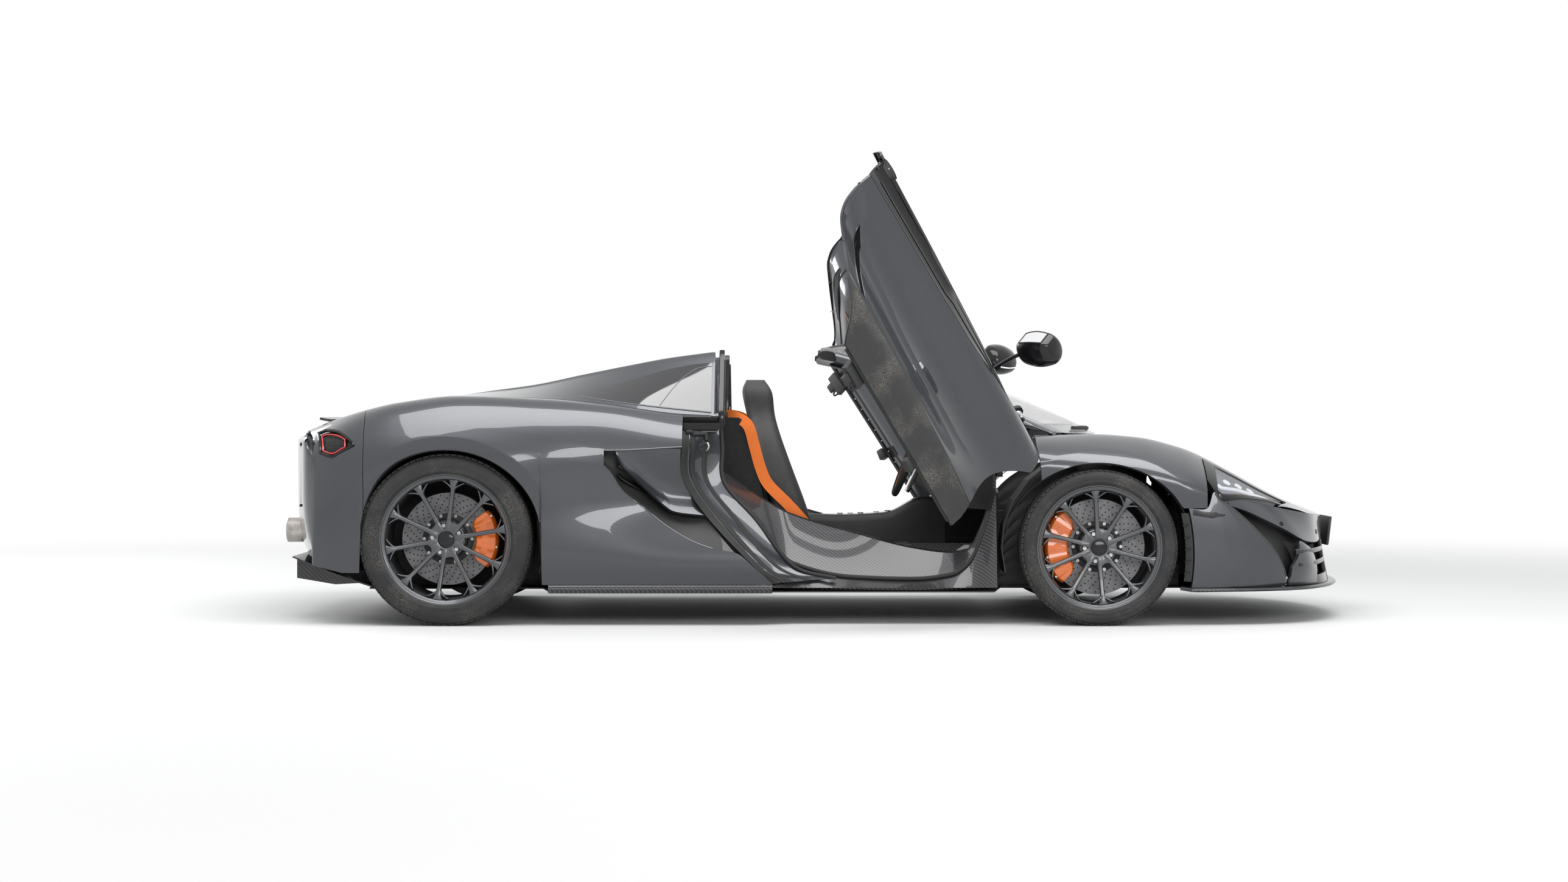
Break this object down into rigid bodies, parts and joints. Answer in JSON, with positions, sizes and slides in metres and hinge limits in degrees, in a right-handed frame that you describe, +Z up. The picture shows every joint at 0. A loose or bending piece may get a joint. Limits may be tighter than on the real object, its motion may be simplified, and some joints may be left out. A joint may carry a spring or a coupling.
{
  "type": "open two-seat mid-engined sports car",
  "caption": "Low open two-seater with its roof stowed, swing-up doors, steered front wheels, a front luggage lid and a lifting rear deck.",
  "frame": {"origin": "on the ground under the middle of the car's length and width", "axes": "+X forwards, +Y to the car's left, +Z up"},
  "size_m": [4.524, 3.3594, 1.8866],
  "materials": {
    "paint": "metallic gloss",
    "carbon": "clear-coated carbon twill",
    "black_trim": "gloss black",
    "black_plastic": "grained",
    "tyre": "rubber",
    "wheel_alloy": "satin dark grey",
    "disc_ceramic": "drilled carbon ceramic",
    "caliper_orange": "gloss",
    "bare_alloy": "machined and cast",
    "glass_clear": "clear",
    "lamp_lens": "smoked",
    "lamp_red": "red lens",
    "leather": "black with orange stitching",
    "exhaust_steel": "brushed"
  },
  "bodies": {
    "chassis": {"arch_liners": "black_plastic", "bulkheads": "carbon", "console": "leather", "cowl": "black_plastic", "dashboard": "leather", "diffuser": "carbon", "door_jambs": "paint", "engine": "bare_alloy", "exhaust_tips": "exhaust_steel", "front_boot": "black_plastic", "front_bumper": "paint", "front_fenders": "paint", "front_suspension": "bare_alloy", "headlamps": "lamp_lens", "hinge_pins": "bare_alloy", "quarter_panels": "paint", "rear_bumper": "paint", "rear_calipers": "caliper_orange", "rear_grille": "black_trim", "rear_suspension": "bare_alloy", "rear_window": "glass_clear", "roll_hoops": "black_trim", "seats": "leather", "skirts": "black_trim", "splitter": "carbon", "spoiler": "paint", "tail_lamps": "lamp_red", "tub": "carbon", "undertray": "black_plastic", "windscreen": "glass_clear", "windscreen_frame": "black_trim"},
    "front_lid": {"front_lid": "paint"},
    "tonneau": {"tonneau": "paint", "buttresses": "paint"},
    "steering_wheel": {"steering_wheel": "leather"},
    "door_right": {"door_skin_right": "paint", "door_cladding_right": "black_plastic", "door_liner_right": "leather", "mirror_right": "paint"},
    "knuckle_right": {"knuckle_right": "bare_alloy", "caliper_front_right": "caliper_orange"},
    "wheel_front_right": {"tyre_front_right": "tyre", "rim_front_right": "wheel_alloy", "disc_front_right": "disc_ceramic"},
    "wheel_rear_right": {"tyre_rear_right": "tyre", "rim_rear_right": "wheel_alloy", "disc_rear_right": "disc_ceramic"},
    "door_left": {"door_skin_left": "paint", "door_cladding_left": "black_plastic", "door_liner_left": "leather", "mirror_left": "paint"},
    "knuckle_left": {"knuckle_left": "bare_alloy", "caliper_front_left": "caliper_orange"},
    "wheel_front_left": {"tyre_front_left": "tyre", "rim_front_left": "wheel_alloy", "disc_front_left": "disc_ceramic"},
    "wheel_rear_left": {"tyre_rear_left": "tyre", "rim_rear_left": "wheel_alloy", "disc_rear_left": "disc_ceramic"}
  },
  "joints": [
    {"name": "door_right_hinge", "type": "hinge", "parent": "chassis", "child": "door_right", "pos_m": [0.841, -0.75, 0.8285], "axis": [-0.2688, 0.73, 0.6284], "range_deg": [-64.5, 0]},
    {"name": "steer_right", "type": "hinge", "parent": "chassis", "child": "knuckle_right", "pos_m": [1.14, -0.736, 0.319], "axis": [0, 0, 1], "range_deg": [-32, 32]},
    {"name": "spin_front_right", "type": "hinge", "parent": "knuckle_right", "child": "wheel_front_right", "pos_m": [1.14, -0.836, 0.319], "axis": [0, 1, 0], "continuous": true},
    {"name": "spin_rear_right", "type": "hinge", "parent": "chassis", "child": "wheel_rear_right", "pos_m": [-1.53, -0.806, 0.351], "axis": [0, 1, 0], "continuous": true},
    {"name": "door_left_hinge", "type": "hinge", "parent": "chassis", "child": "door_left", "pos_m": [0.841, 0.75, 0.8285], "axis": [0.2688, 0.73, -0.6284], "range_deg": [-64.5, 0]},
    {"name": "steer_left", "type": "hinge", "parent": "chassis", "child": "knuckle_left", "pos_m": [1.14, 0.736, 0.319], "axis": [0, 0, 1], "range_deg": [-32, 32]},
    {"name": "spin_front_left", "type": "hinge", "parent": "knuckle_left", "child": "wheel_front_left", "pos_m": [1.14, 0.836, 0.319], "axis": [0, 1, 0], "continuous": true},
    {"name": "spin_rear_left", "type": "hinge", "parent": "chassis", "child": "wheel_rear_left", "pos_m": [-1.53, 0.806, 0.351], "axis": [0, 1, 0], "continuous": true},
    {"name": "front_lid_hinge", "type": "hinge", "parent": "chassis", "child": "front_lid", "pos_m": [1.046, 0, 0.742], "axis": [0, -1, 0], "range_deg": [0, 45]},
    {"name": "tonneau_hinge", "type": "hinge", "parent": "chassis", "child": "tonneau", "pos_m": [-1.975, 0, 0.838], "axis": [0, -1, 0], "range_deg": [0, 30]},
    {"name": "steering_turn", "type": "hinge", "parent": "chassis", "child": "steering_wheel", "pos_m": [0.395, -0.345, 0.69], "axis": [-0.9272, 0, 0.3746], "range_deg": [-450, 450]}
  ],
  "couplings": [
    {"joint": "steer_left", "follows": "steer_right", "ratio": 1},
    {"joint": "steering_turn", "follows": "steer_right", "ratio": -14}
  ]
}
